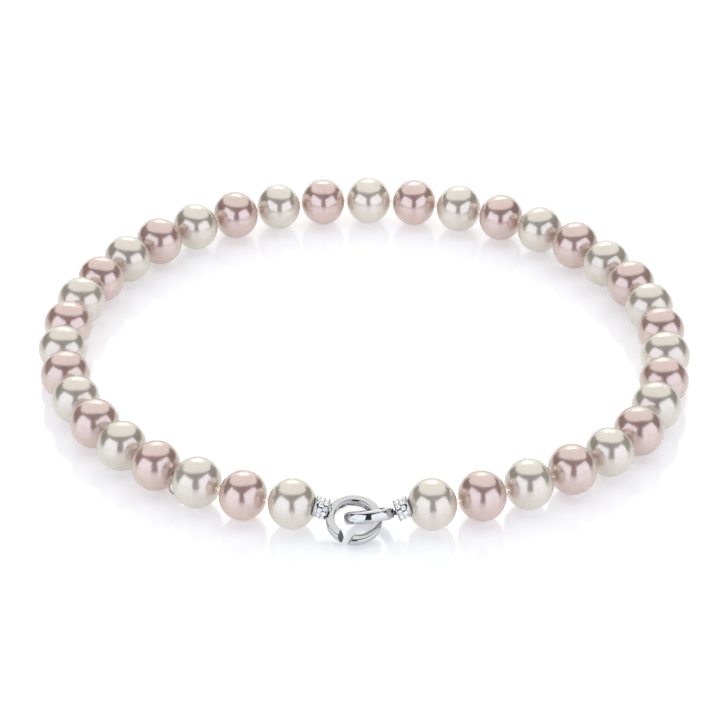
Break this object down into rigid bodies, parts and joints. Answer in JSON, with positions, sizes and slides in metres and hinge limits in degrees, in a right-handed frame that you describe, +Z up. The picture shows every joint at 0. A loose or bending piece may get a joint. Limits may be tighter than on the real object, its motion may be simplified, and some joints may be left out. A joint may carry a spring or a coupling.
{
  "type": "pearl necklace",
  "caption": "Knotted necklace of alternating white and pink pearls, closed at the front by two interlocking rings hinged to stone-set barrels.",
  "frame": {"origin": "bottom centre of the bounding box of the necklace lying closed on a flat surface", "axes": "+Z up through the loop, +Y towards the back of the loop, -Y towards the clasp, +X to the right when seen from the clasp's side"},
  "size_m": [0.1524, 0.1542, 0.0116],
  "materials": {
    "white_pearl": "nacre, soft satin lustre",
    "pink_pearl": "nacre, soft satin lustre",
    "silk": "knotted silk",
    "clear_stones": "faceted, clear",
    "polished_white_metal": "high polish",
    "wire": "drawn and polished"
  },
  "bodies": {
    "strand_back": {"pink_pearl_18": "pink_pearl", "white_pearl_19": "white_pearl", "pink_pearl_20": "pink_pearl", "silk_back": "silk"},
    "strand_left_1": {"white_pearl_15": "white_pearl", "pink_pearl_16": "pink_pearl", "white_pearl_17": "white_pearl", "silk_left_1": "silk"},
    "strand_left_2": {"pink_pearl_12": "pink_pearl", "white_pearl_13": "white_pearl", "pink_pearl_14": "pink_pearl", "silk_left_2": "silk"},
    "strand_left_3": {"white_pearl_09": "white_pearl", "pink_pearl_10": "pink_pearl", "white_pearl_11": "white_pearl", "silk_left_3": "silk"},
    "strand_left_4": {"pink_pearl_06": "pink_pearl", "white_pearl_07": "white_pearl", "pink_pearl_08": "pink_pearl", "silk_left_4": "silk"},
    "strand_left_5": {"white_pearl_03": "white_pearl", "pink_pearl_04": "pink_pearl", "white_pearl_05": "white_pearl", "silk_left_5": "silk"},
    "strand_left_6": {"white_pearl_01": "white_pearl", "pink_pearl_02": "pink_pearl", "silk_left_6": "silk", "left_barrel": "polished_white_metal", "left_barrel_stones": "clear_stones"},
    "strand_right_1": {"white_pearl_21": "white_pearl", "pink_pearl_22": "pink_pearl", "white_pearl_23": "white_pearl", "silk_right_1": "silk"},
    "strand_right_2": {"pink_pearl_24": "pink_pearl", "white_pearl_25": "white_pearl", "pink_pearl_26": "pink_pearl", "silk_right_2": "silk"},
    "strand_right_3": {"white_pearl_27": "white_pearl", "pink_pearl_28": "pink_pearl", "white_pearl_29": "white_pearl", "silk_right_3": "silk"},
    "strand_right_4": {"pink_pearl_30": "pink_pearl", "white_pearl_31": "white_pearl", "pink_pearl_32": "pink_pearl", "silk_right_4": "silk"},
    "strand_right_5": {"white_pearl_33": "white_pearl", "pink_pearl_34": "pink_pearl", "white_pearl_35": "white_pearl", "silk_right_5": "silk"},
    "strand_right_6": {"pink_pearl_36": "pink_pearl", "white_pearl_37": "white_pearl", "silk_right_6": "silk", "right_barrel": "polished_white_metal", "right_barrel_stones": "clear_stones", "link_ring_pin": "polished_white_metal"},
    "slotted_ring": {"slotted_ring": "polished_white_metal", "slotted_ring_rivet": "polished_white_metal"},
    "link_ring": {"link_ring": "polished_white_metal"},
    "tag_ring": {"tag_ring": "wire"}
  },
  "joints": [
    {"name": "knot_bend_left_1", "type": "hinge", "parent": "strand_back", "child": "strand_left_1", "pos_m": [-0.0158, 0.06981, 0.0059], "axis": [0, 0, 1], "range_deg": [-7.9, 7.9]},
    {"name": "knot_bend_left_2", "type": "hinge", "parent": "strand_left_1", "child": "strand_left_2", "pos_m": [-0.04626, 0.05437, 0.0059], "axis": [0, 0, 1], "range_deg": [-3.9, 3.9]},
    {"name": "knot_bend_left_3", "type": "hinge", "parent": "strand_left_2", "child": "strand_left_3", "pos_m": [-0.06592, 0.02644, 0.0059], "axis": [0, 0, 1], "range_deg": [-9.4, 9.4]},
    {"name": "strand_flex", "type": "hinge", "parent": "strand_left_3", "child": "strand_left_4", "pos_m": [-0.07019, -0.00761, 0.0059], "axis": [0, 0, 1], "range_deg": [-10, 10]},
    {"name": "knot_bend_left_5", "type": "hinge", "parent": "strand_left_4", "child": "strand_left_5", "pos_m": [-0.05799, -0.03954, 0.0059], "axis": [0, 0, 1], "range_deg": [-3.5, 3.5]},
    {"name": "knot_bend_left_6", "type": "hinge", "parent": "strand_left_5", "child": "strand_left_6", "pos_m": [-0.03179, -0.06225, 0.0059], "axis": [0, 0, 1], "range_deg": [-11.4, 11.4]},
    {"name": "knot_bend_right_1", "type": "hinge", "parent": "strand_back", "child": "strand_right_1", "pos_m": [0.01843, 0.06916, 0.0059], "axis": [0, 0, 1], "range_deg": [-7.6, 7.6]},
    {"name": "knot_bend_right_2", "type": "hinge", "parent": "strand_right_1", "child": "strand_right_2", "pos_m": [0.04826, 0.05257, 0.0059], "axis": [0, 0, 1], "range_deg": [-3.7, 3.7]},
    {"name": "knot_bend_right_3", "type": "hinge", "parent": "strand_right_2", "child": "strand_right_3", "pos_m": [0.06692, 0.0237, 0.0059], "axis": [0, 0, 1], "range_deg": [-9.9, 9.9]},
    {"name": "knot_bend_right_4", "type": "hinge", "parent": "strand_right_3", "child": "strand_right_4", "pos_m": [0.0703, -0.01036, 0.0059], "axis": [0, 0, 1], "range_deg": [-10.1, 10.1]},
    {"name": "knot_bend_right_5", "type": "hinge", "parent": "strand_right_4", "child": "strand_right_5", "pos_m": [0.05917, -0.0427, 0.0059], "axis": [0, 0, 1], "range_deg": [-2.8, 2.8]},
    {"name": "knot_bend_right_6", "type": "hinge", "parent": "strand_right_5", "child": "strand_right_6", "pos_m": [0.03139, -0.06263, 0.0059], "axis": [0, 0, 1], "range_deg": [-11.4, 11.4]},
    {"name": "slotted_ring_swing", "type": "hinge", "parent": "strand_left_6", "child": "slotted_ring", "pos_m": [-0.0077, -0.0693, 0.00477], "axis": [0.0482, -0.3907, 0.9192], "range_deg": [-6, 6]},
    {"name": "link_ring_swing", "type": "hinge", "parent": "strand_right_6", "child": "link_ring", "pos_m": [0.00764, -0.06985, 0.00502], "axis": [0.0696, 0.866, -0.4951], "range_deg": [-8, 2]},
    {"name": "tag_ring_spin", "type": "hinge", "parent": "strand_left_5", "child": "tag_ring", "pos_m": [-0.04186, -0.05607, 0.0059], "axis": [-0.8066, 0.591, 0], "continuous": true}
  ],
  "couplings": [
    {"joint": "knot_bend_left_1", "follows": "strand_flex", "ratio": -0.7777},
    {"joint": "knot_bend_left_2", "follows": "strand_flex", "ratio": -0.3831},
    {"joint": "knot_bend_left_3", "follows": "strand_flex", "ratio": 0.929},
    {"joint": "knot_bend_left_5", "follows": "strand_flex", "ratio": 0.344},
    {"joint": "knot_bend_left_6", "follows": "strand_flex", "ratio": -1.1305},
    {"joint": "knot_bend_right_1", "follows": "strand_flex", "ratio": 0.7473},
    {"joint": "knot_bend_right_2", "follows": "strand_flex", "ratio": 0.3561},
    {"joint": "knot_bend_right_3", "follows": "strand_flex", "ratio": -0.9779},
    {"joint": "knot_bend_right_4", "follows": "strand_flex", "ratio": -0.9979},
    {"joint": "knot_bend_right_5", "follows": "strand_flex", "ratio": -0.2736},
    {"joint": "knot_bend_right_6", "follows": "strand_flex", "ratio": 1.1278}
  ]
}
